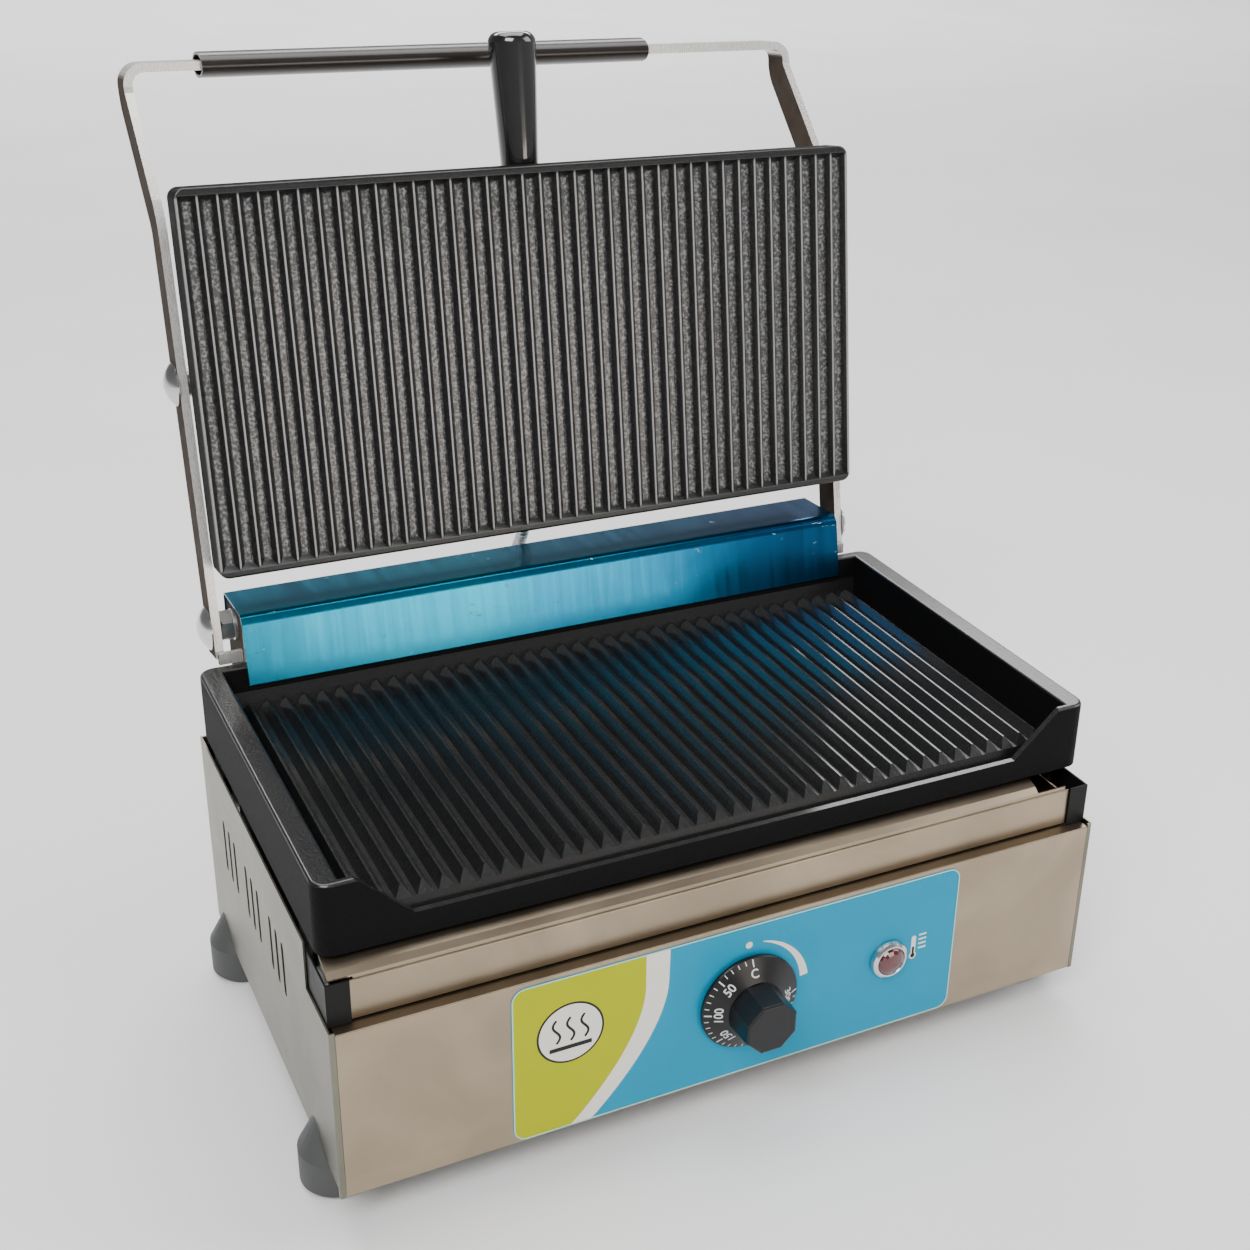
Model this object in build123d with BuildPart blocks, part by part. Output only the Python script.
from build123d import *
import os
from math import asin, cos, radians, sin, tan

# Electric contact grill (panini press): a sheet-metal base with a ribbed lower plate and a
# drip drawer, and a ribbed upper plate carried between the arms of a flat-bar bail.
# Millimetres. +X is the right-hand side, +Y the back, +Z up. The feet stand on Z = 0, and
# the origin is under the middle of the whole outline.
# "Depth" is counted back from the front panel's face, "height" up from its lower edge.

# ---------------------------------------------------------------- driving dimensions
WIDTH = 460.0            # base, over the side panels
DEPTH = 264.5            # base, front panel face to back panel face
SHEET = 1.0              # stainless sheet
SEAM = 0.2               # between two sheets of the base

FOOT_HEIGHT = 24.0       # front panel's lower edge above the floor
FOOT_RADIUS = 21.0
FOOT_DRUM = 22.5         # height of the foot's straight wall
FOOT_INSET = 11.0        # foot's axis inside the side panel's face
FOOT_DEPTHS = (44.0, 245.0)
FOOT_CONE = 26.7         # height of the whole cone above the drum
FOOT_BORE = 2.6

PANEL_HEIGHT = 101.6     # front panel
SIDE_LOW = 5.0
SIDE_STEP_HEIGHT = 103.4
SIDE_STEP_DEPTH = 39.8
SIDE_HEIGHT = 131.6
PANEL_SCREW_X = 222.0
PANEL_SCREWS = (22.0, 84.0)   # heights
BRACKET_SCREWS = (75.0, 115.0)
SLOT_SIZE = (34.0, 4.6)
SLOT_PITCH = 12.8

CHASSIS_WIDTH = 457.2
CHASSIS_FRONT = 6.7
CHASSIS_BACK = 262.5
CHASSIS_FLOOR = 98.0
CHASSIS_TOP = 126.6
CHASSIS_TAB = 12.3       # front corner tabs beside the drawer

DRAWER_WIDTH = 432.0
DRAWER_FRONT = 8.3
DRAWER_LOW = 102.7
DRAWER_TOP = 125.4
DRAWER_FLOOR = 105.5
DRAWER_BACK = 236.0
DRAWER_LIFT = 0.3        # drawer above its rails
LIP_SPAN = (-226.5, 194.0)    # drip tray's lip, which passes over the left chassis tab
LIP_FOOT = 127.0
LIP_TOP = 134.8
LIP_REACH = 24.0

PLATE_HALF = 228.3       # lower plate
PLATE_FRONT = 15.9
PLATE_BACK = 262.5
PLATE_BASE = 136.0
PLATE_RIM = 176.6
RIM_ROUND = 2.0
PLATE_LIP = 149.5        # low front edge
PLATE_GUTTER = 146.5     # grease channel behind the lip
PLATE_FLOOR = 152.0      # bottom of the grooves
NOTCH_HALF = (179.3, 208.2)   # front notch, at the lip and at the rim
RIB_PITCH = 11.0
RIB_COUNT = 38
RIB_HEIGHT = 5.5
RIB_HALF = (4.3, 0.6)    # half widths of a lower rib at its foot and crest
GROOVE_HALF = (5.1, 1.6)      # half widths of an upper groove at its mouth and bottom

HINGE_DEPTH = 284.3      # bail axis
HINGE_HEIGHT = 191.4
HINGE_BOLT = 5.0         # radius
BORE_PLAY = 0.05
ARM_OUT = 215.0          # outer face of the bail's arms
BAR_WIDTH = 20.0
BAR_THICK = 5.0
ARM_LEAN = 10.5          # degrees from upright, first run of the arms
ARM_RUN = 234.0
HAND_LEAN = 45.0         # second run
HAND_RISE = 60.0
TOP_LEAN = 5.0           # last short run and the crossbar
TOP_RISE = 15.6
ARM_TAIL = 17.0          # arm below the bail axis

LID_LEAN = 8.0           # upper plate from upright, so 98 degrees from closed
LID_HALF = 210.5
LID_SPAN = (36.2, 254.9)      # along the plate, from the bail axis
LID_BODY = (13.2, 25.2)       # plate's back and groove bottoms, in front of the bail axis
LID_RIB = 5.0
LID_PIVOT = (144.7, -6.4)
PIVOT_BOLT = 4.0         # radius
COVER_HALF = 199.0       # sheet box on the back of the upper plate
COVER_SPAN = (44.0, 246.0)
COVER_BACK = -30.0
COVER_BOLTS = ((-178, 85), (178, 85), (-178, 205), (178, 205))

HOUSING_HALF = 201.0     # bent cover over the hinge
BRACKET_OUT = 200.0
BRACKET_THICK = 3.0

DIAL_HEIGHT = 51.0
DIAL_RADIUS = 29.5
SKIRT_RISE = 8.0
KNOB_REACH = 30.0
SHAFT_RADIUS = 3.0
THERMOSTAT_SCREW = 18.0
LAMP_X = 91.0
LAMP_HEIGHT = 50.0
LABEL_HALF = 137.0
LABEL_SPAN = (1.0, 99.0)
LABEL_THICK = 0.3

GRIP_SPAN = (-171.0, 110.0)   # oval sleeve on the crossbar
GRIP_RADII = (13.5, 7.3)
GRIP_WALL = 1.6

HANDLE_SPAN = (246.3, 330.0)  # centre handle, along the upper plate
HANDLE_RADII = (11.0, 14.2)
HANDLE_OUT = -2.0

CONDUIT_X = -6.0
CONDUIT_RADIUS = 4.0
CONDUIT_OUTLET = 112.0   # height of the lower gland
CONDUIT_OUT = -19.5      # upper gland, behind the upper plate's plane
CONDUIT_LEG = 334.0      # furthest back the slack reaches

# ---------------------------------------------------------------- derived places
HALF = WIDTH / 2
PANEL_HOLES = (          # x, height and radius in the front panel and its label
    (0, DIAL_HEIGHT, 6.0), (LAMP_X, LAMP_HEIGHT, 6.2),
    (-THERMOSTAT_SCREW, DIAL_HEIGHT, 2.1), (THERMOSTAT_SCREW, DIAL_HEIGHT, 2.1),
)
ARM_IN = ARM_OUT - BAR_THICK
KINK = (ARM_RUN * sin(radians(ARM_LEAN)), ARM_RUN * cos(radians(ARM_LEAN)))
TURN = (KINK[0] + HAND_RISE * tan(radians(HAND_LEAN)), KINK[1] + HAND_RISE)
CROSSBAR_Y = TURN[0] + TOP_RISE * sin(radians(TOP_LEAN))
REAR_REACH = HINGE_DEPTH + CROSSBAR_Y + GRIP_RADII[0] * cos(radians(TOP_LEAN))
FRONT = (KNOB_REACH - REAR_REACH) / 2      # puts the origin under the outline's middle


def back(depth):
    """Y of a place this far behind the front panel's face."""
    return FRONT + depth


def up(height):
    """Z of a place this far above the front panel's lower edge."""
    return FOOT_HEIGHT + height


HINGE_Y = back(HINGE_DEPTH)
HINGE_Z = up(HINGE_HEIGHT)

# Upper plate's plane: X across, Y along the plate away from the bail axis, Z out of its face.
LID = Plane(
    origin=(0, HINGE_Y, HINGE_Z),
    x_dir=(1, 0, 0),
    z_dir=(0, -cos(radians(LID_LEAN)), sin(radians(LID_LEAN))),
)
# Crossbar's plane: X across, Y up the last run of the arms, Z along the bar's width.
TOP = Plane(
    origin=(0, HINGE_Y + TURN[0], HINGE_Z + TURN[1]),
    x_dir=(1, 0, 0),
    z_dir=(0, -cos(radians(TOP_LEAN)), sin(radians(TOP_LEAN))),
)
# Directions of a screw or bolt head.
TO_RIGHT = (0, 90, 0)
TO_LEFT = (0, -90, 0)
TO_FRONT = (90, 0, 0)
TO_BACK = (-90, 0, 0)
TO_FLOOR = (180, 0, 0)

os.makedirs("parts", exist_ok=True)


def save(builder, name):
    """Label a finished piece and write it."""
    builder.part.label = name
    export_step(builder.part, f"parts/{name}.step")


def span(low, high, mode=Mode.ADD):
    """A block between two corners."""
    with Locations(tuple((high[i] + low[i]) / 2 for i in range(3))):
        Box(*[high[i] - low[i] for i in range(3)], mode=mode)


def block(low, high, mode=Mode.ADD):
    """A block between two corners given as (x, depth, height)."""
    span((low[0], back(low[1]), up(low[2])), (high[0], back(high[1]), up(high[2])), mode)


def at(x, depth, height, turn=(0, 0, 0)):
    """A placing in the base."""
    return Location((x, back(depth), up(height)), turn)


def lid_at(x, along, out, turn=(0, 0, 0)):
    """A placing in the upper plate's plane."""
    return LID.location * Location((x, along, out), turn)


def dome_bolt(head_radius, head_height, shank_radius, length):
    """A domed bolt along Z, its head above Z = 0."""
    dome_radius = (head_radius**2 + head_height**2) / (2 * head_height)
    half = asin(head_radius / dome_radius) / 2
    crown = 0.8 + head_height
    with BuildPart() as bolt:
        with BuildSketch(Plane.XZ):
            with BuildLine():
                Line((0, -length), (shank_radius, -length))
                Line((shank_radius, -length), (shank_radius, 0))
                Line((shank_radius, 0), (head_radius, 0))
                Line((head_radius, 0), (head_radius, 0.8))
                ThreePointArc(
                    (head_radius, 0.8),
                    (dome_radius * sin(half), crown - dome_radius * (1 - cos(half))),
                    (0, crown),
                )
                Line((0, crown), (0, -length))
            make_face()
        revolve(axis=Axis.Z)
    return bolt.part


def pan_screw(head_radius, head_height, shank_radius, length):
    """A pan-head screw along Z with a cross recess, its head above Z = 0."""
    with BuildPart() as screw:
        Cylinder(head_radius, head_height, align=(Align.CENTER, Align.CENTER, Align.MIN))
        fillet(screw.edges().group_by(Axis.Z)[-1], head_height * 0.45)
        Cylinder(shank_radius, length, align=(Align.CENTER, Align.CENTER, Align.MAX))
        with Locations((0, 0, head_height)):
            Box(head_radius, 0.9, head_height, mode=Mode.SUBTRACT)
            Box(0.9, head_radius, head_height, mode=Mode.SUBTRACT)
    return screw.part


def turned(*points):
    """A solid turned about Z from a profile of (radius, height) points."""
    with BuildPart() as solid:
        with BuildSketch(Plane.XZ):
            with BuildLine():
                Polyline(*points, close=True)
            make_face()
        revolve(axis=Axis.Z)
    return solid.part


def hex_nut(across, bore_radius, thickness):
    """A hexagon nut standing on Z = 0."""
    with BuildPart() as nut:
        with BuildSketch():
            RegularPolygon(across / 2, 6, major_radius=False)
        extrude(amount=thickness)
        with BuildSketch(Plane.XZ):
            with BuildLine():
                Polyline(
                    (0, 0), (across * 0.5, 0), (across * 0.6, thickness * 0.18),
                    (across * 0.6, thickness * 0.82), (across * 0.5, thickness), (0, thickness),
                    close=True,
                )
            make_face()
        revolve(axis=Axis.Z, mode=Mode.INTERSECT)
        Cylinder(bore_radius, 4 * thickness, mode=Mode.SUBTRACT)
    return nut.part


def group(solid, places):
    """Copies of one solid as one node."""
    with BuildPart() as pieces:
        with Locations(*places):
            add(solid)
    return pieces


# ---------------------------------------------------------------- base: sheet panels
def front_panel():
    edge = HALF - 3 - SEAM
    with BuildPart() as panel:
        block((-edge, 0, 0), (edge, SHEET, PANEL_HEIGHT))
        block((-edge, 0, PANEL_HEIGHT - SHEET), (edge, 9, PANEL_HEIGHT))
        block((-edge, 0, 0), (edge, 11, SHEET))
        fillet(panel.edges().filter_by(Axis.X).group_by(Axis.Y)[0], 0.8)
        for x, height, radius in PANEL_HOLES:
            with Locations(at(x, SHEET, height, TO_BACK)):
                Cylinder(radius, 8, mode=Mode.SUBTRACT)
    save(panel, "front_panel")


def side_panel():
    """Right-hand side sheet: stepped top, front return, bottom flange and air slots."""
    with BuildPart() as panel:
        with BuildSketch(Plane.YZ.offset(HALF - SHEET)):
            with BuildLine():
                Polyline(
                    (back(SHEET), up(SIDE_LOW)),
                    (back(DEPTH - SHEET - SEAM), up(SIDE_LOW)),
                    (back(DEPTH - SHEET - SEAM), up(SIDE_HEIGHT)),
                    (back(SIDE_STEP_DEPTH), up(SIDE_HEIGHT)),
                    (back(SIDE_STEP_DEPTH), up(SIDE_STEP_HEIGHT)),
                    (back(SHEET), up(SIDE_STEP_HEIGHT)),
                    close=True,
                )
            make_face()
        extrude(amount=SHEET)
        block((HALF - 3, 0, 0), (HALF, SHEET, SIDE_STEP_HEIGHT))
        block((HALF - SHEET, 0, 0), (HALF, 3, SIDE_LOW))
        block((HALF - 14, 14, SIDE_LOW), (HALF, DEPTH - 3, SIDE_LOW + SHEET))
        block((HALF - 14, DEPTH - 2 * SHEET - SEAM, 12), (HALF, DEPTH - SHEET - SEAM, 94))
        corner = panel.edges().filter_by(Axis.Z).group_by(Axis.Y)[0].sort_by(Axis.X)[-1]
        fillet(corner, 0.8)
        with BuildSketch(Plane.YZ.offset(HALF - 2 * SHEET)):
            for depth in (100.5, 153.0, 205.0):
                with Locations((back(depth), up(82.5))):
                    with GridLocations(SLOT_PITCH, 1, 3, 1):
                        SlotOverall(*SLOT_SIZE, rotation=90)
        extrude(amount=3 * SHEET, mode=Mode.SUBTRACT)
        with Locations(*[at(HALF - FOOT_INSET, depth, SIDE_LOW) for depth in FOOT_DEPTHS]):
            Cylinder(FOOT_BORE, 4, mode=Mode.SUBTRACT)
        with Locations(*[at(PANEL_SCREW_X, DEPTH, height, TO_BACK) for height in PANEL_SCREWS]):
            Cylinder(1.6, 8, mode=Mode.SUBTRACT)
    return panel


def side_panels():
    right = side_panel()
    save(right, "side_panel_right")
    with BuildPart() as left:
        add(right.part.mirror(Plane.YZ))
    save(left, "side_panel_left")


def back_panel():
    with BuildPart() as panel:
        block((-HALF, DEPTH - SHEET, SIDE_LOW), (HALF, DEPTH, SIDE_HEIGHT))
        with BuildSketch(Plane.XZ.offset(-back(DEPTH + SHEET))):
            with Locations((150, up(42))):
                Circle(8)
            with Locations((CONDUIT_X, up(CONDUIT_OUTLET))):
                Circle(5)
            for x in (-130, -60, 60):
                with Locations((x, up(45))):
                    with GridLocations(SLOT_PITCH, 1, 4, 1):
                        SlotOverall(*SLOT_SIZE, rotation=90)
            with Locations(*[(x, up(z)) for x in (-185, 185) for z in BRACKET_SCREWS]):
                Circle(2.6)
            for x in (-PANEL_SCREW_X, PANEL_SCREW_X):
                with Locations(*[(x, up(z)) for z in PANEL_SCREWS]):
                    Circle(1.6)
        extrude(amount=3 * SHEET, mode=Mode.SUBTRACT)
    save(panel, "back_panel")


def foot_places():
    x = HALF - FOOT_INSET
    right = [at(x, depth, -FOOT_HEIGHT) for depth in FOOT_DEPTHS]
    left = [at(-x, depth, -FOOT_HEIGHT, (0, 0, 180)) for depth in FOOT_DEPTHS]
    return right + left


def base_plate():
    low = SIDE_LOW + SHEET
    edge = HALF - SHEET - SEAM
    with BuildPart() as plate:
        block((-edge, 12, low), (edge, DEPTH - SHEET - SEAM, low + SHEET))
        with BuildSketch(Plane.XY.offset(up(low - SHEET))):
            with Locations((0, back(140))):
                with GridLocations(14, 1, 12, 1):
                    SlotOverall(70, 5, rotation=90)
            with Locations(*[place.position for place in foot_places()]):
                Circle(FOOT_BORE)
        extrude(amount=3 * SHEET, mode=Mode.SUBTRACT)
    save(plate, "base_plate")


def foot():
    """Right-hand foot: a drum under the base and a half cone up the side panel's face."""
    rim = FOOT_HEIGHT + SIDE_LOW
    with BuildPart() as one:
        with BuildSketch(Plane.XZ):
            with BuildLine():
                Polyline(
                    (0, 0), (FOOT_RADIUS - 3, 0), (FOOT_RADIUS, 3), (FOOT_RADIUS, FOOT_DRUM),
                    (7, FOOT_DRUM + FOOT_CONE), (0, FOOT_DRUM + FOOT_CONE), close=True,
                )
            make_face()
        revolve(axis=Axis.Z)
        with Locations((-50 + FOOT_INSET, 0, rim + 30)):
            Box(100, 100, 60, mode=Mode.SUBTRACT)
        Cylinder(FOOT_BORE, 200, mode=Mode.SUBTRACT)
        Cylinder(7, 12, mode=Mode.SUBTRACT)
    return one.part


def feet():
    save(group(foot(), foot_places()), "feet")
    screw = pan_screw(5.0, 3.0, 2.5, FOOT_HEIGHT + SIDE_LOW - 4)
    turned = [place * Location((0, 0, 6), TO_FLOOR) for place in foot_places()]
    save(group(screw, turned), "foot_screws")


# ---------------------------------------------------------------- base: inside
def chassis():
    """Black open box that carries the lower plate and the drawer."""
    edge = CHASSIS_WIDTH / 2
    low, top = CHASSIS_FLOOR, CHASSIS_TOP
    with BuildPart() as shell:
        block((-edge, 11, low), (edge, CHASSIS_BACK, low + SHEET))
        block((-edge, CHASSIS_BACK - SHEET, low), (edge, CHASSIS_BACK, top))
        for side in (-1, 1):
            wall = sorted((side * edge, side * (edge - SHEET)))
            tab = sorted((side * edge, side * (edge - CHASSIS_TAB)))
            block((wall[0], 11, low), (wall[1], CHASSIS_BACK, top))
            block((wall[0], CHASSIS_FRONT, PANEL_HEIGHT + 0.4), (wall[1], 12, top))
            block(
                (tab[0], CHASSIS_FRONT, PANEL_HEIGHT + 0.4),
                (tab[1], CHASSIS_FRONT + SHEET, top),
            )
        with Locations(at(CONDUIT_X, CHASSIS_BACK, CONDUIT_OUTLET, TO_BACK)):
            Cylinder(5.2, 6, mode=Mode.SUBTRACT)
        with Locations(*[at(x, CHASSIS_BACK, BRACKET_SCREWS[1], TO_BACK) for x in (-185, 185)]):
            Cylinder(2.7, 6, mode=Mode.SUBTRACT)
    save(shell, "chassis")


def plate_supports():
    """Four posts between the chassis floor and the lower plate's skirt."""
    height = PLATE_BASE - CHASSIS_FLOOR - SHEET
    with BuildPart() as post:
        Box(8.6, 20, height)
        Box(6.6, 30, height - 4, mode=Mode.SUBTRACT)
    places = [
        at(x, depth, CHASSIS_FLOOR + SHEET + height / 2)
        for x in (-222.4, 222.4)
        for depth in (48, 232)
    ]
    save(group(post.part, places), "plate_supports")


def drawer_guides():
    """Two angle rails that the drawer runs on."""
    floor = CHASSIS_FLOOR + SHEET
    rest = DRAWER_FLOOR - DRAWER_LIFT
    with BuildPart() as guides:
        for side in (-1, 1):
            foot_edge = sorted((side * 196, side * 210))
            web = sorted((side * 196, side * (196 + SHEET)))
            block((foot_edge[0], 24, floor), (foot_edge[1], 244, floor + SHEET))
            block((web[0], 24, floor), (web[1], 244, rest))
            block((foot_edge[0], 24, rest - SHEET), (foot_edge[1], 244, rest))
            block(
                (foot_edge[0], DRAWER_BACK + 0.3, floor),
                (foot_edge[1], DRAWER_BACK + 1.8, floor + 14),
            )
    save(guides, "drawer_guides")


def drip_tray():
    """Sheet pan of the drawer, with a lip that leans back under the plate, and its front."""
    edge = DRAWER_WIDTH / 2 - 2
    front = DRAWER_FRONT + SHEET
    with BuildPart() as tray:
        block((-edge, front, DRAWER_FLOOR), (edge, DRAWER_BACK, DRAWER_TOP - 2.5))
        fillet(tray.edges().filter_by(Axis.Z).group_by(Axis.Y)[-1], 4)
        fillet(tray.faces().sort_by(Axis.Z)[0].edges(), 2)
        offset(amount=-SHEET, openings=tray.faces().sort_by(Axis.Z)[-1])
        block((-edge, front, DRAWER_TOP - 3.5), (edge, front + SHEET, LIP_FOOT + 0.6))
        left, right = LIP_SPAN
        with BuildSketch(Plane.YZ.offset(left)):
            with BuildLine():
                Polyline(
                    (back(front - 0.2), up(LIP_FOOT)), (back(front + 1.6), up(LIP_FOOT)),
                    (back(LIP_REACH), up(LIP_TOP - SHEET)), (back(LIP_REACH), up(LIP_TOP)),
                    (back(front + 3), up(LIP_FOOT + 3.6)), (back(front - 0.2), up(LIP_FOOT + 1)),
                    close=True,
                )
            make_face()
        extrude(amount=right - left)
    save(tray, "drip_tray")
    edge = DRAWER_WIDTH / 2
    with BuildPart() as face:
        block((-edge, DRAWER_FRONT, DRAWER_LOW), (edge, front, DRAWER_TOP))
        fillet(face.edges().filter_by(Axis.X).group_by(Axis.Y)[0].sort_by(Axis.Z)[-1], 0.8)
    save(face, "drawer_front")


# ---------------------------------------------------------------- ribs
def ridge(half_widths, height, run, slope):
    """A bar along Y on Z = 0 with sloped flanks and ends; half widths at foot and crest."""
    foot_half, crest_half = half_widths
    with BuildPart() as bar:
        with BuildSketch(Plane.XZ.offset(-run / 2)):
            with BuildLine():
                Polyline(
                    (-crest_half, height), (-foot_half, 0), (foot_half, 0), (crest_half, height),
                    close=True,
                )
            make_face()
        extrude(amount=run)
        for end in (-1, 1):
            with BuildSketch(Plane.YZ.offset(-2 * foot_half - 2 * crest_half)):
                with BuildLine():
                    Polyline(
                        (end * (run / 2 - slope * 1.2), height * 1.2), (end * run / 2, 0),
                        (end * (run / 2 + slope * 0.2), -height * 0.2),
                        (end * (run / 2 + slope), -height * 0.2),
                        (end * (run / 2 + slope), height * 1.2), close=True,
                    )
                make_face()
            extrude(amount=4 * (foot_half + crest_half), mode=Mode.SUBTRACT)
    return bar.part


def rib_offsets():
    return [(i - (RIB_COUNT - 1) / 2) * RIB_PITCH for i in range(RIB_COUNT)]


# ---------------------------------------------------------------- lower plate
def on_outline(edge):
    """Whether an edge lies on the lower plate's outer outline."""
    middle = edge.position_at(0.5)
    outline = (PLATE_HALF - 3, back(PLATE_FRONT + 3), back(PLATE_BACK - 3))
    return abs(middle.X) > outline[0] or middle.Y < outline[1] or middle.Y > outline[2]


def on_well_rim(edge):
    """Whether an edge is one of the three straight inner edges of the rim."""
    middle = edge.position_at(0.5)
    inside = abs(middle.X) < PLATE_HALF - 10 and middle.Y < back(PLATE_BACK - 5)
    return inside and edge.length > 200 and abs(middle.Z - up(PLATE_RIM)) < 0.01


def lower_plate():
    """Cast plate: rim on three sides, low front lip with a gutter, ribs front to back."""
    with BuildPart() as well:
        with BuildSketch(Plane.YZ.offset(-PLATE_HALF)):
            with BuildLine():
                Polyline(
                    (back(19.5), up(PLATE_GUTTER)), (back(23.5), up(PLATE_GUTTER)),
                    (back(26), up(PLATE_FLOOR)), (back(246), up(PLATE_FLOOR)),
                    (back(250.2), up(162.7)), (back(252), up(162.7)),
                    (back(254.9), up(PLATE_RIM + 1)), (back(19.5), up(PLATE_RIM + 1)),
                    close=True,
                )
            make_face()
        extrude(amount=2 * PLATE_HALF)
        with BuildSketch(Plane.XZ.offset(-back(PLATE_BACK))):
            with BuildLine():
                Polyline(
                    (-209, up(PLATE_GUTTER - 1)), (209, up(PLATE_GUTTER - 1)),
                    (215.6, up(PLATE_RIM + 1)), (-215.6, up(PLATE_RIM + 1)), close=True,
                )
            make_face()
        extrude(amount=PLATE_BACK, mode=Mode.INTERSECT)
    ribs_start, ribs_end = 26.0, 249.5
    rib = ridge(RIB_HALF, RIB_HEIGHT, ribs_end - ribs_start, 5)
    with BuildPart() as plate:
        block((-PLATE_HALF, PLATE_FRONT, PLATE_BASE), (PLATE_HALF, PLATE_BACK, PLATE_RIM))
        fillet(plate.edges().filter_by(Axis.Z), 9)
        add(well.part, mode=Mode.SUBTRACT)
        with BuildSketch(Plane.XZ.offset(-back(PLATE_FRONT - 1))):
            with BuildLine():
                Polyline(
                    (-NOTCH_HALF[0], up(PLATE_LIP)), (NOTCH_HALF[0], up(PLATE_LIP)),
                    (NOTCH_HALF[1], up(PLATE_RIM)), (NOTCH_HALF[1], up(PLATE_RIM + 1)),
                    (-NOTCH_HALF[1], up(PLATE_RIM + 1)), (-NOTCH_HALF[1], up(PLATE_RIM)),
                    close=True,
                )
            make_face()
        extrude(amount=-6, mode=Mode.SUBTRACT)
        block((-219, 25, PLATE_BASE - 1), (219, 253, PLATE_BASE + 7), mode=Mode.SUBTRACT)
        fillet(plate.edges().group_by(Axis.Z)[-1].filter_by(on_outline), RIM_ROUND)
        fillet(plate.edges().filter_by(on_well_rim), 1.5)
        middle = (ribs_start + ribs_end) / 2
        with Locations(*[at(x, middle, PLATE_FLOOR) for x in rib_offsets()]):
            add(rib)
    save(plate, "lower_plate")


def element_path(plane, half_x, near, far, lead):
    """A tubular heater: one rounded loop with two leads, swept in its plane."""
    radius = 4.0
    with BuildPart() as tube:
        with BuildLine(plane):
            path = FilletPolyline(
                (-25, near - lead), (-25, near), (-half_x, near), (-half_x, far),
                (half_x, far), (half_x, near), (25, near), (25, near - lead),
                radius=(15, 25, 25, 25, 25, 15),
            )
        with BuildSketch(Plane(origin=path @ 0, z_dir=path % 0)):
            Circle(radius)
        sweep(path=path)
    return tube


def clamp_strap():
    """A saddle that holds a heater down: bridge over the tube with two feet."""
    with BuildPart() as strap:
        Box(10, 26, 2, align=(Align.CENTER, Align.CENTER, Align.MIN))
        Box(10, 13, 9.4, align=(Align.CENTER, Align.CENTER, Align.MIN))
        with BuildSketch(Plane.YZ.offset(-10)):
            with Locations((0, 4.1)):
                Circle(4.1)
            Rectangle(8.2, 8.2)
        extrude(amount=20, mode=Mode.SUBTRACT)
    return strap.part


def lower_heating():
    """Heater under the lower plate's floor and the straps that hold it up."""
    ceiling = PLATE_BASE + 7
    plane = Plane.XY.offset(up(ceiling - 4.05))
    tube = element_path(plane, 175, back(70), back(215), 30)
    save(tube, "lower_element")
    places = [
        at(x, depth, ceiling, (180, 0, 0)) for x in (-90, 90) for depth in (70, 215)
    ]
    save(group(clamp_strap(), places), "lower_element_straps")


# ---------------------------------------------------------------- hinge
def hinge_bracket():
    """Right-hand bracket on the back panel, with the tab that stops the open bail."""
    inner = BRACKET_OUT - BRACKET_THICK
    face = DEPTH + SEAM
    rear = 303.8
    with BuildPart() as bracket:
        with BuildSketch(Plane.YZ.offset(inner)):
            with BuildLine():
                Polyline(
                    (back(face), up(60)), (back(286), up(60)), (back(rear), up(150)),
                    (back(rear), up(200.5)), (back(268), up(203)), (back(face), up(198)),
                    close=True,
                )
            make_face()
        extrude(amount=BRACKET_THICK)
        block((170, face, 60), (BRACKET_OUT, face + BRACKET_THICK, 130))
        block((184, rear - BRACKET_THICK, 188), (BRACKET_OUT, rear, 200.4))
        block(
            (inner, HINGE_DEPTH - 16.3, HINGE_HEIGHT - 17.5),
            (ARM_OUT - 1, HINGE_DEPTH - 13.3, HINGE_HEIGHT - 10.5),
        )
        with Locations(at(BRACKET_OUT, HINGE_DEPTH, HINGE_HEIGHT, TO_RIGHT)):
            Cylinder(HINGE_BOLT + BORE_PLAY, 20, mode=Mode.SUBTRACT)
        with Locations(*[at(185, DEPTH, height, TO_BACK) for height in BRACKET_SCREWS]):
            Cylinder(2.6, 20, mode=Mode.SUBTRACT)
        with Locations(at(190, rear, 194, TO_BACK)):
            Cylinder(1.6, 10, mode=Mode.SUBTRACT)
    return bracket


def hinge_brackets():
    right = hinge_bracket()
    save(right, "hinge_bracket_right")
    with BuildPart() as left:
        add(right.part.mirror(Plane.YZ))
    save(left, "hinge_bracket_left")


def both_sides(x, depth, height):
    """The same place on both sides, local Z pointing outwards."""
    return [at(x, depth, height, TO_RIGHT), at(-x, depth, height, TO_LEFT)]


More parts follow.
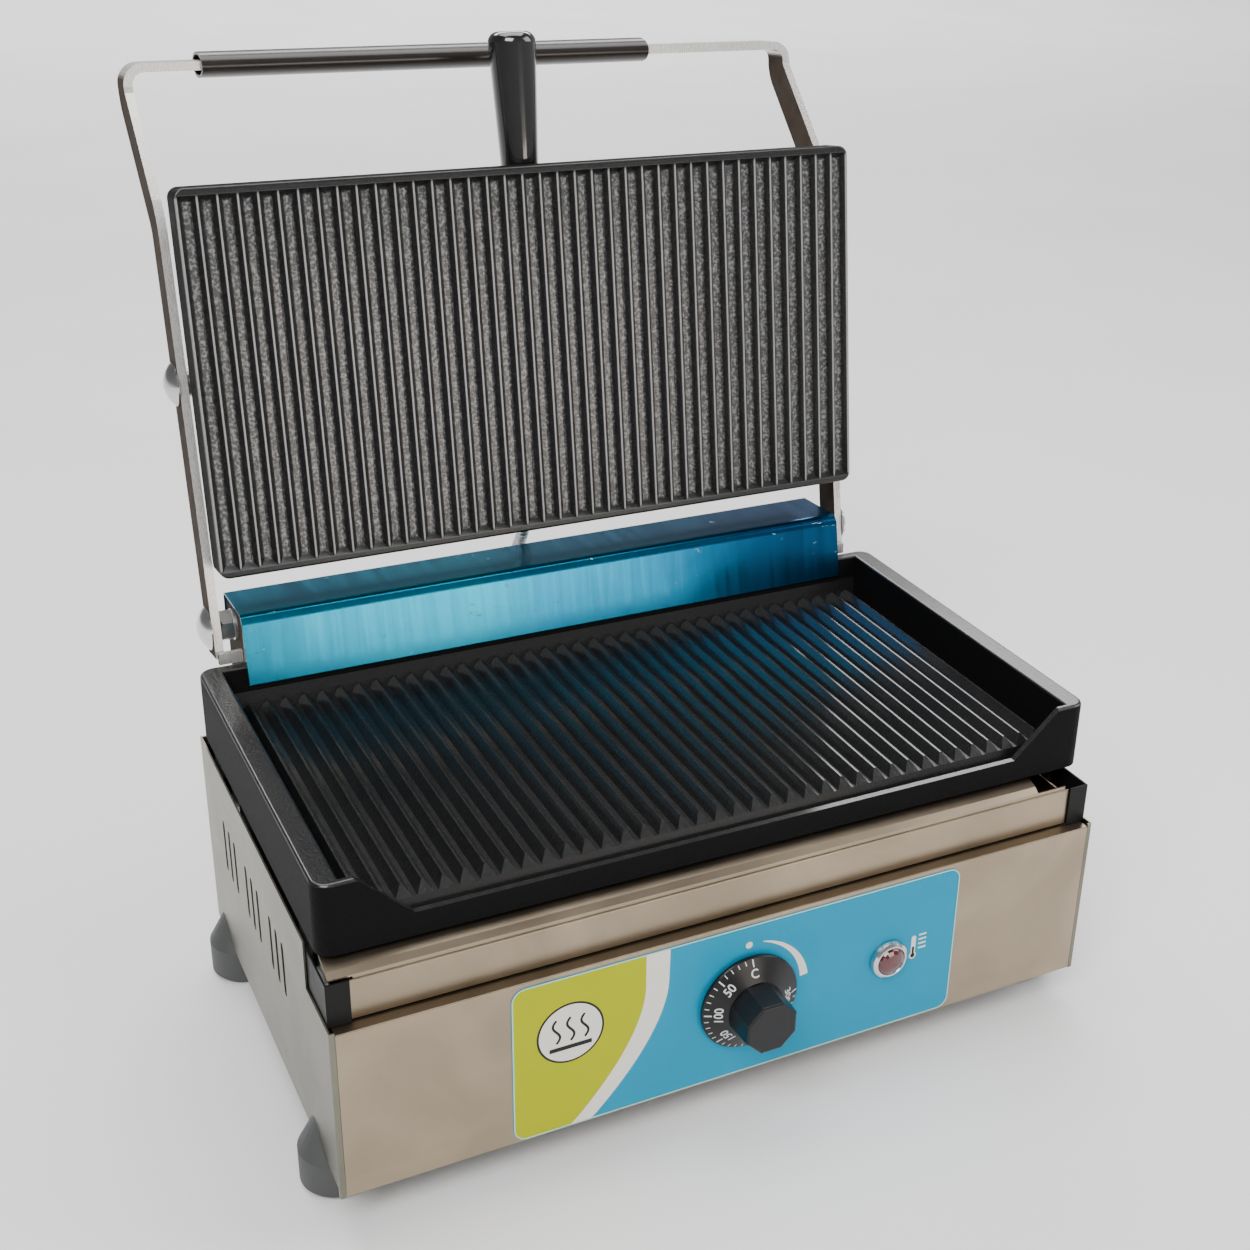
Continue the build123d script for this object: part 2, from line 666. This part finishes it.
def hinge_hardware():
    """Domed bolts, their washers and nuts, and the screws of the brackets."""
    bolt = dome_bolt(13.2, 5.8, HINGE_BOLT, ARM_OUT + 0.3 - 186)
    save(group(bolt, both_sides(ARM_OUT + 0.3, HINGE_DEPTH, HINGE_HEIGHT)), "hinge_bolts")
    bore = HINGE_BOLT + BORE_PLAY
    washer = turned((bore, 0), (9.5, 0), (9.5, 1.5), (bore, 1.5))
    save(group(washer, both_sides(BRACKET_OUT, HINGE_DEPTH, HINGE_HEIGHT)), "hinge_washers")
    nut = hex_nut(17, bore, 8)
    places = both_sides(BRACKET_OUT + 1.5, HINGE_DEPTH, HINGE_HEIGHT)
    places += both_sides(BRACKET_OUT - BRACKET_THICK - 8, HINGE_DEPTH, HINGE_HEIGHT)
    save(group(nut, places), "hinge_nuts")
    screw = pan_screw(4.6, 3.0, 2.5, 8)
    face = DEPTH + SEAM + BRACKET_THICK
    places = [at(x, face, height, TO_BACK) for x in (-185, 185) for height in BRACKET_SCREWS]
    save(group(screw, places), "bracket_screws")
    screw = pan_screw(2.8, 1.8, 1.5, 6)
    places = [at(x, 304.9, 194, TO_BACK) for x in (-190, 190)]
    save(group(screw, places), "hinge_cover_screws")
    places = [
        at(x, DEPTH, height, TO_BACK)
        for x in (-PANEL_SCREW_X, PANEL_SCREW_X)
        for height in PANEL_SCREWS
    ]
    save(group(screw, places), "panel_screws")


def hinge_cover():
    """Bent sheet over the hinge, from inside the well's back wall to the back."""
    with BuildPart() as cover:
        with BuildSketch(Plane.YZ.offset(-HOUSING_HALF)):
            with BuildLine():
                FilletPolyline(
                    (back(251.5), up(165.8)), (back(259.6), up(206.3)),
                    (back(304.4), up(203.6)), (back(304.4), up(188)),
                    radius=(6, 3),
                )
            trace(line_width=SHEET)
        extrude(amount=2 * HOUSING_HALF)
        with Locations(*[at(x, 304.4, 194, TO_BACK) for x in (-190, 190)]):
            Cylinder(1.6, 6, mode=Mode.SUBTRACT)
    save(cover, "hinge_cover")


# ---------------------------------------------------------------- controls
def dial():
    """Thermostat dial: conical skirt for the scale and a tapered octagonal grip."""
    skirt = turned(
        (0, 0), (DIAL_RADIUS, 0), (DIAL_RADIUS, 1.4), (DIAL_RADIUS - 0.6, 2.0),
        (16.5, SKIRT_RISE), (0, SKIRT_RISE),
    )
    with BuildPart() as knob:
        with BuildSketch(Plane.XY.offset(SKIRT_RISE - 3)):
            RegularPolygon(15.6, 8, major_radius=False, rotation=22.5)
        extrude(amount=KNOB_REACH - 2.5 - SKIRT_RISE + 3, taper=2)
        fillet(knob.edges().group_by(Axis.Z)[-1], 1.5)
        add(skirt)
        with Locations((0, 0, -1)):
            Cylinder(
                SHAFT_RADIUS + BORE_PLAY, 22,
                align=(Align.CENTER, Align.CENTER, Align.MIN), mode=Mode.SUBTRACT,
            )
    save(group(knob.part, [at(0, -2.5, DIAL_HEIGHT, TO_FRONT)]), "dial")


def thermostat():
    """Shaft, body and fixing screws of the thermostat behind the dial."""
    with BuildPart() as shaft:
        with Locations(at(0, -5.25, DIAL_HEIGHT, TO_BACK)):
            Cylinder(SHAFT_RADIUS, 35)
    save(shaft, "thermostat_shaft")
    with BuildPart() as body:
        with Locations(at(0, SHEET, DIAL_HEIGHT, TO_BACK)):
            Box(44, 26, 1.5, align=(Align.CENTER, Align.CENTER, Align.MIN))
            Cylinder(15, 16, align=(Align.CENTER, Align.CENTER, Align.MIN))
            Box(26, 32, 30, align=(Align.CENTER, Align.CENTER, Align.MIN))
        fillet(body.edges().group_by(Axis.Y)[-1], 1.5)
        with Locations(at(0, SHEET, DIAL_HEIGHT, TO_BACK)):
            Cylinder(SHAFT_RADIUS + BORE_PLAY, 24, mode=Mode.SUBTRACT)
        ears = [at(x, SHEET, DIAL_HEIGHT, TO_BACK) for x in (-THERMOSTAT_SCREW, THERMOSTAT_SCREW)]
        with Locations(*ears):
            Cylinder(2.1, 8, mode=Mode.SUBTRACT)
    save(body, "thermostat_body")
    screw = pan_screw(3.6, 1.7, 2.0, 6)
    places = [
        at(x, -LABEL_THICK, DIAL_HEIGHT, TO_FRONT)
        for x in (-THERMOSTAT_SCREW, THERMOSTAT_SCREW)
    ]
    save(group(screw, places), "thermostat_screws")


def lamp():
    """Pilot lamp: bright ring, lens and the nut behind the panel."""
    ring = turned(
        (4.5, -24), (6, -24), (6, 0), (12, 0), (12, 2), (11.4, 3.8), (10, 4.9),
        (9, 4.9), (8.6, 4.4), (8.6, 2), (4.5, 2),
    )
    lens = turned(
        (0, 2.1), (8.5, 2.1), (8.5, 4.4), (7.6, 5.6), (5.6, 6.6), (3, 7.2), (0, 7.4)
    )
    place = [at(LAMP_X, -LABEL_THICK, LAMP_HEIGHT, TO_FRONT)]
    save(group(ring, place), "lamp_bezel")
    save(group(lens, place), "lamp_lens")
    nut = hex_nut(17, 6.05, 3)
    save(group(nut, [at(LAMP_X, SHEET, LAMP_HEIGHT, TO_BACK)]), "lamp_nut")


def control_label():
    with BuildPart() as label:
        block(
            (-LABEL_HALF, -LABEL_THICK, LABEL_SPAN[0]), (LABEL_HALF, 0, LABEL_SPAN[1])
        )
        fillet(label.edges().filter_by(Axis.Y), 8)
        for x, height, radius in PANEL_HOLES:
            with Locations(at(x, 0, height, TO_BACK)):
                Cylinder(radius, 4, mode=Mode.SUBTRACT)
    save(label, "control_label")


def back_fittings():
    """Cord gland and the block that its wires go to."""
    gland = turned(
        (3.6, -6), (7.9, -6), (7.9, 0), (11, 0), (11, 3), (9.5, 4), (9, 14),
        (6.5, 18), (3.6, 18),
    )
    save(group(gland, [at(150, DEPTH, 42, TO_BACK)]), "cord_gland")
    with BuildPart() as terminals:
        block((118, 214, 7), (182, 234, 22))
        for i in range(4):
            with Locations(at(126 + 16 * i, 224, 22)):
                Box(11, 16, 8, mode=Mode.SUBTRACT)
    save(terminals, "terminal_block")


# ---------------------------------------------------------------- conduit
def conduit():
    """Armoured lead from the base to the upper plate, with its two glands."""
    gland = turned(
        (2.6, -7), (4.9, -7), (4.9, 0), (6.5, 0), (6.5, 2.4), (5.8, 3), (5.8, 9.4),
        (5.2, 10), (CONDUIT_RADIUS + BORE_PLAY, 10), (CONDUIT_RADIUS + BORE_PLAY, 2),
        (2.6, 2),
    )
    low = at(CONDUIT_X, DEPTH, CONDUIT_OUTLET, TO_BACK)
    top = lid_at(CONDUIT_X, COVER_SPAN[0], CONDUIT_OUT, (90, 0, 0))
    save(group(gland, [low]), "conduit_gland_base")
    save(group(gland, [top]), "conduit_gland_lid")
    start = (low * Location((0, 0, 2.2))).position
    mouth = (top * Location((0, 0, 21))).position
    end = (top * Location((0, 0, 2.2))).position
    leg = back(CONDUIT_LEG)
    with BuildPart() as tube:
        with BuildLine(Plane.YZ.offset(CONDUIT_X)):
            path = FilletPolyline(
                (start.Y, start.Z), (leg, start.Z), (leg, up(176)),
                (mouth.Y, mouth.Z), (end.Y, end.Z), radius=(26, 26, 26),
            )
        with BuildSketch(Plane(origin=path @ 0, z_dir=path % 0)):
            Circle(CONDUIT_RADIUS)
            Circle(CONDUIT_RADIUS - 1, mode=Mode.SUBTRACT)
        sweep(path=path)
    save(tube, "conduit")


# ---------------------------------------------------------------- bail
def bail():
    """Flat bar bent to a hoop: two arms, leaning back at the top, and a crossbar."""
    lean = radians(TOP_LEAN)
    tail = (-ARM_TAIL * sin(radians(ARM_LEAN)), -ARM_TAIL * cos(radians(ARM_LEAN)))
    tip = (TURN[0] + 6.5 * sin(lean), TURN[1] + 6.5 * cos(lean))
    middle = ARM_OUT - BAR_THICK / 2
    with BuildPart() as hoop:
        for x in (-ARM_OUT, ARM_IN):
            with BuildSketch(Plane(origin=(x, HINGE_Y, HINGE_Z), x_dir=(0, 1, 0), z_dir=(1, 0, 0))):
                with BuildLine():
                    FilletPolyline(tail, KINK, TURN, tip, radius=(30, 15))
                trace(line_width=BAR_WIDTH)
            extrude(amount=BAR_THICK)
        with BuildSketch(TOP):
            with BuildLine():
                FilletPolyline(
                    (-middle, 6), (-middle, TOP_RISE), (middle, TOP_RISE), (middle, 6),
                    radius=9.5,
                )
            trace(line_width=BAR_THICK)
        extrude(amount=BAR_WIDTH / 2, both=True)
        with Locations((0, HINGE_Y, HINGE_Z)):
            Cylinder(HINGE_BOLT + BORE_PLAY, WIDTH, rotation=TO_RIGHT, mode=Mode.SUBTRACT)
        with Locations(lid_at(0, *LID_PIVOT)):
            Cylinder(PIVOT_BOLT + BORE_PLAY, WIDTH, rotation=TO_RIGHT, mode=Mode.SUBTRACT)
    save(hoop, "bail")


def grip_tube():
    """Loose oval sleeve on the crossbar."""
    length = GRIP_SPAN[1] - GRIP_SPAN[0]
    with BuildPart() as sleeve:
        with BuildSketch():
            Ellipse(*GRIP_RADII)
            Ellipse(*[radius - GRIP_WALL for radius in GRIP_RADII], mode=Mode.SUBTRACT)
        extrude(amount=length)
    place = TOP.location * Location((GRIP_SPAN[0], TOP_RISE, 0), (0, 90, 0))
    save(group(sleeve.part, [place]), "grip_tube")


# ---------------------------------------------------------------- upper plate
def upper_plate():
    """Cast plate with closed grooves in its face and four blind holes in its back."""
    low, high = LID_SPAN
    face = LID_BODY[1] + LID_RIB
    border = 4.0
    groove = ridge(GROOVE_HALF, LID_RIB, high - low - 2 * border, 4)
    with BuildPart() as plate:
        span((-LID_HALF, low, LID_BODY[0]), (LID_HALF, high, face))
        fillet(plate.edges().filter_by(Axis.Z), 6)
        fillet(plate.edges().group_by(Axis.Z)[-1], 1.5)
        middle = (low + high) / 2
        with Locations(*[Location((x, middle, face), (0, 180, 0)) for x in rib_offsets()]):
            add(groove, mode=Mode.SUBTRACT)
        with Locations(*[(x, along, LID_BODY[0]) for x, along in COVER_BOLTS]):
            Cylinder(2.6, 12, mode=Mode.SUBTRACT)
    save(group(plate.part, [LID.location]), "upper_plate")


def upper_cover():
    """Sheet box on the back of the upper plate."""
    low, high = COVER_SPAN
    with BuildPart() as shell:
        span((-COVER_HALF, low, COVER_BACK), (COVER_HALF, high, LID_BODY[0] - 0.1))
        fillet(shell.edges().filter_by(Axis.Z), 3)
        fillet(shell.edges().group_by(Axis.Z)[0], 3.5)
        offset(amount=-SHEET, openings=shell.faces().sort_by(Axis.Z)[-1])
        with Locations(Location((0, *LID_PIVOT), TO_RIGHT)):
            Cylinder(PIVOT_BOLT + 0.4, WIDTH, mode=Mode.SUBTRACT)
        with Locations(Location((CONDUIT_X, low, CONDUIT_OUT), TO_FRONT)):
            Cylinder(5, 6, mode=Mode.SUBTRACT)
        with Locations(Location((0, high, HANDLE_OUT), TO_FRONT)):
            Cylinder(4.4, 6, mode=Mode.SUBTRACT)
        with Locations(*[(x, along, COVER_BACK) for x, along in COVER_BOLTS]):
            Cylinder(2.8, 6, mode=Mode.SUBTRACT)
    save(group(shell.part, [LID.location]), "upper_cover")
    bolt = pan_screw(5.5, 3.2, 2.5, LID_BODY[0] + 5 - COVER_BACK)
    places = [lid_at(x, along, COVER_BACK, TO_FLOOR) for x, along in COVER_BOLTS]
    save(group(bolt, places), "cover_bolts")


def upper_heating():
    """Heater on the back of the upper plate and its straps."""
    base = LID_BODY[0]
    tube = element_path(Plane.XY.offset(base - 4.05), 150, 75, 212, 20)
    save(group(tube.part, [LID.location]), "upper_element")
    places = [lid_at(x, along, base, TO_FLOOR) for x in (-85, 85) for along in (75, 212)]
    save(group(clamp_strap(), places), "upper_element_straps")


def pivot_hardware():
    """Brackets inside the cover and the bolts that hang them between the arms."""
    low = LID_PIVOT[0] - 20
    high = LID_PIVOT[0] + 20
    top = LID_BODY[0] - 0.1
    inner = COVER_HALF - SHEET - 3.2
    with BuildPart() as brackets:
        for side in (-1, 1):
            wall = sorted((side * inner, side * (inner + 3)))
            sole = sorted((side * (inner - 22), side * (inner + 3)))
            span((wall[0], low, -18), (wall[1], high, top))
            span((sole[0], low, top - 3), (sole[1], high, top))
        with Locations(Location((0, *LID_PIVOT), TO_RIGHT)):
            Cylinder(PIVOT_BOLT + BORE_PLAY, WIDTH, mode=Mode.SUBTRACT)
    save(group(brackets.part, [LID.location]), "pivot_brackets")

    def sides(x):
        return [lid_at(x, *LID_PIVOT, TO_RIGHT), lid_at(-x, *LID_PIVOT, TO_LEFT)]

    bore = PIVOT_BOLT + BORE_PLAY
    bolt = dome_bolt(12.6, 5.6, PIVOT_BOLT, ARM_OUT + 0.3 - 184)
    save(group(bolt, sides(ARM_OUT + 0.3)), "pivot_bolts")
    spacer = turned((bore, 0), (8, 0), (8, 10.2), (bore, 10.2))
    save(group(spacer, sides(COVER_HALF + 0.2)), "pivot_spacers")
    save(group(hex_nut(13, bore, 6.5), sides(inner - 6.5)), "pivot_nuts")


def handle():
    """Conical handle on top of the upper plate, with its stud, nut and bracket."""
    low, high = HANDLE_SPAN
    thin, thick = HANDLE_RADII
    bore = 4 + BORE_PLAY
    with BuildPart() as grip:
        with BuildSketch(Plane.XZ):
            with BuildLine():
                Polyline(
                    (bore, low), (thin - 1, low), (thin, low + 1), (thick, high - 6),
                )
                ThreePointArc(
                    (thick, high - 6), (thick - 2.4, high - 1.4), (thick - 7, high)
                )
                Polyline((thick - 7, high), (0, high), (0, low + 31), (bore, low + 31), (bore, low))
            make_face()
        revolve(axis=Axis.Z)
    upright = lid_at(0, 0, HANDLE_OUT, TO_BACK)
    save(group(grip.part, [upright]), "handle")
    with BuildPart() as stud:
        with Locations((0, 0, low + 8)):
            Cylinder(4, 44)
    save(group(stud.part, [upright]), "handle_stud")
    wall = COVER_SPAN[1] - SHEET - 0.1
    save(group(hex_nut(13, bore, 6.5), [upright * Location((0, 0, wall - 9.5))]), "handle_nut")
    with BuildPart() as bracket:
        span((-22, wall - 3, -16), (22, wall, LID_BODY[0] - 0.1))
        span((-22, 221, LID_BODY[0] - 3.1), (22, wall, LID_BODY[0] - 0.1))
        with Locations(Location((0, wall, HANDLE_OUT), TO_FRONT)):
            Cylinder(bore, 20, mode=Mode.SUBTRACT)
    save(group(bracket.part, [LID.location]), "handle_bracket")


front_panel()
side_panels()
back_panel()
base_plate()
feet()
chassis()
plate_supports()
drawer_guides()
drip_tray()
lower_plate()
lower_heating()
hinge_brackets()
hinge_hardware()
hinge_cover()
dial()
thermostat()
lamp()
control_label()
back_fittings()
conduit()
bail()
grip_tube()
upper_plate()
upper_cover()
upper_heating()
pivot_hardware()
handle()
